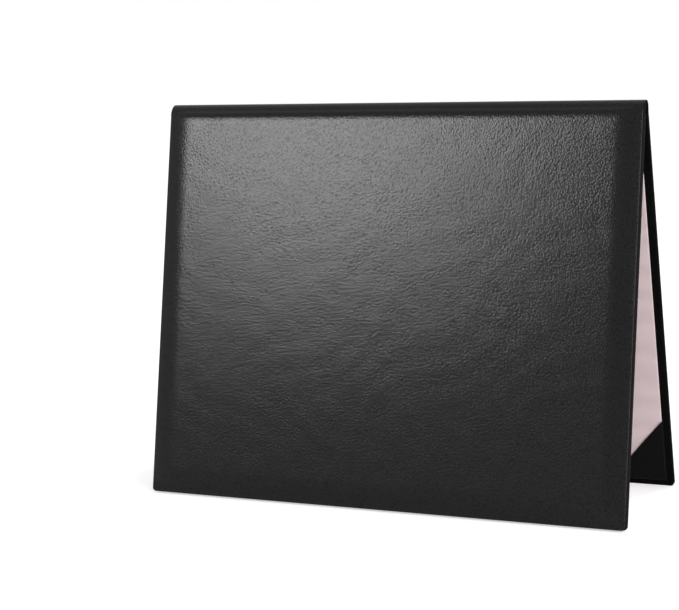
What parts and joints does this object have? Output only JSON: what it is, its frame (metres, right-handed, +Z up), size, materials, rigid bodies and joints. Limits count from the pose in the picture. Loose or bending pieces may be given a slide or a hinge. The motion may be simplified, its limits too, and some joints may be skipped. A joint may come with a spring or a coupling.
{
  "type": "diploma cover",
  "caption": "Landscape padded leatherette diploma cover that folds on a rounded spine, with a lined inside, a clear sheet and corner pockets.",
  "frame": {"origin": "on the ground under the middle of the standing tent", "axes": "+X along the spine, -Y towards the padded front cover, +Z up"},
  "size_m": [0.3048, 0.1066, 0.2372],
  "materials": {
    "leatherette": "fine pebbled black leatherette, satin",
    "pocket_leatherette": "thin smooth black leatherette",
    "greyboard": "pressed greyboard, hidden",
    "card": "stiff card, hidden",
    "foam": "soft foam sheet, hidden",
    "lining": "pale watered lining, faintly pink, with a soft silky sheen",
    "clear_film": "thin clear film"
  },
  "bodies": {
    "back_cover": {"back_cover_skin": "leatherette", "back_board": "greyboard", "back_hinge_lap": "leatherette", "liner_card": "card", "back_lining": "lining", "clear_sheet": "clear_film", "pocket_head_left": "pocket_leatherette", "pocket_head_right": "pocket_leatherette", "pocket_foot_left": "pocket_leatherette", "pocket_foot_right": "pocket_leatherette"},
    "spine": {"spine_skin": "leatherette", "spine_card": "card", "spine_inner_strip": "leatherette"},
    "front_cover": {"front_cover_skin": "leatherette", "front_pad": "foam", "front_board": "greyboard", "front_hinge_lap": "leatherette", "front_lining": "lining"}
  },
  "joints": [
    {"name": "back_crease", "type": "hinge", "parent": "back_cover", "child": "spine", "pos_m": [0, 0.00752, 0.2304], "axis": [-1, 0, 0], "range_deg": [-11.7, 78.3]},
    {"name": "front_crease", "type": "hinge", "parent": "spine", "child": "front_cover", "pos_m": [0, -0.00368, 0.23047], "axis": [-1, 0, 0], "range_deg": [-11.7, 78.3]}
  ],
  "couplings": [
    {"joint": "front_crease", "follows": "back_crease", "ratio": 1}
  ]
}
